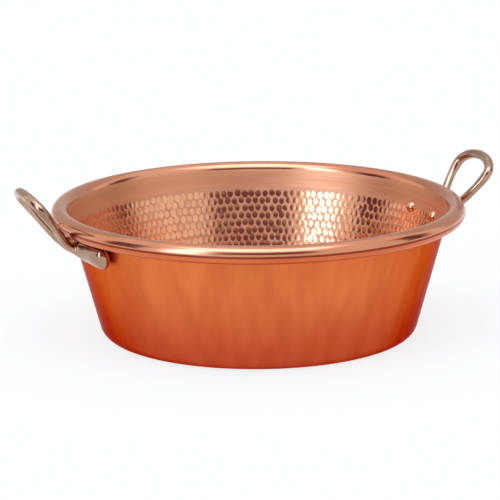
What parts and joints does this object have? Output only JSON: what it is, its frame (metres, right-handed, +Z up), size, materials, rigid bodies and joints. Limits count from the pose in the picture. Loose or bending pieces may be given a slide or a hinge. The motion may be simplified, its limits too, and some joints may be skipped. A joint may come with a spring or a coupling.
{
  "type": "copper jam pan",
  "caption": "Wide hammered copper jam pan with sloping wall, outward rolled rim and two leaning bronze loop handles riveted below the rim.",
  "frame": {"origin": "centre of the underside of the base, which stands on Z = 0", "axes": "+Z up along the pan's axis; +X towards the right handle, -X towards the left handle; -Y is the side that faces the camera"},
  "size_m": [0.4804, 0.3999, 0.1605],
  "materials": {
    "copper": null,
    "bronze": "polished cast bronze",
    "rivet_copper": "polished copper"
  },
  "bodies": {
    "root": {"pan": "copper", "left_handle": "bronze", "right_handle": "bronze", "left_front_rivet": "rivet_copper", "left_rear_rivet": "rivet_copper", "right_front_rivet": "rivet_copper", "right_rear_rivet": "rivet_copper"}
  },
  "joints": []
}
